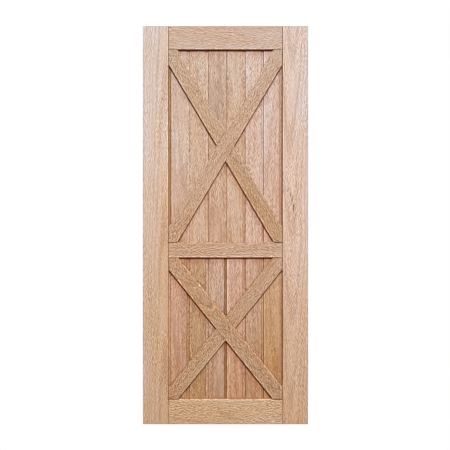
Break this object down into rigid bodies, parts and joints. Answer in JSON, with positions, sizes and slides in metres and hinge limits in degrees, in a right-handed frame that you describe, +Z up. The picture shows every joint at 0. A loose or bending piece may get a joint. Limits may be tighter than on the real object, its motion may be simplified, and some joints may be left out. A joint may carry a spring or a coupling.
{
  "type": "sliding barn door",
  "caption": "Framed wooden barn door leaf: tongued boards in an upper and a lower panel, each crossed by an X of braces, made to hang from a sliding track over a doorway.",
  "frame": {"origin": "middle of the leaf's foot, halfway through its thickness", "axes": "+X to the right seen from the braced front, +Y from the front to the back, +Z up"},
  "size_m": [0.872, 0.04, 2.1],
  "materials": {
    "frame_wood": "sanded, unfinished",
    "board_wood": "sanded, unfinished",
    "brace_wood": "sanded, unfinished",
    "dowel_wood": "plain",
    "screw_steel": "zinc plated"
  },
  "bodies": {
    "root": {"left_stile": "frame_wood", "right_stile": "frame_wood", "top_rail": "frame_wood", "mid_rail": "frame_wood", "bottom_rail": "frame_wood", "upper_board_1": "board_wood", "upper_board_2": "board_wood", "upper_board_3": "board_wood", "upper_board_4": "board_wood", "upper_board_5": "board_wood", "upper_board_6": "board_wood", "lower_board_1": "board_wood", "lower_board_2": "board_wood", "lower_board_3": "board_wood", "lower_board_4": "board_wood", "lower_board_5": "board_wood", "lower_board_6": "board_wood", "upper_brace_long": "brace_wood", "upper_brace_top": "brace_wood", "upper_brace_bottom": "brace_wood", "lower_brace_long": "brace_wood", "lower_brace_top": "brace_wood", "lower_brace_bottom": "brace_wood", "top_rail_dowels": "dowel_wood", "mid_rail_dowels": "dowel_wood", "bottom_rail_dowels": "dowel_wood"}
  },
  "joints": []
}
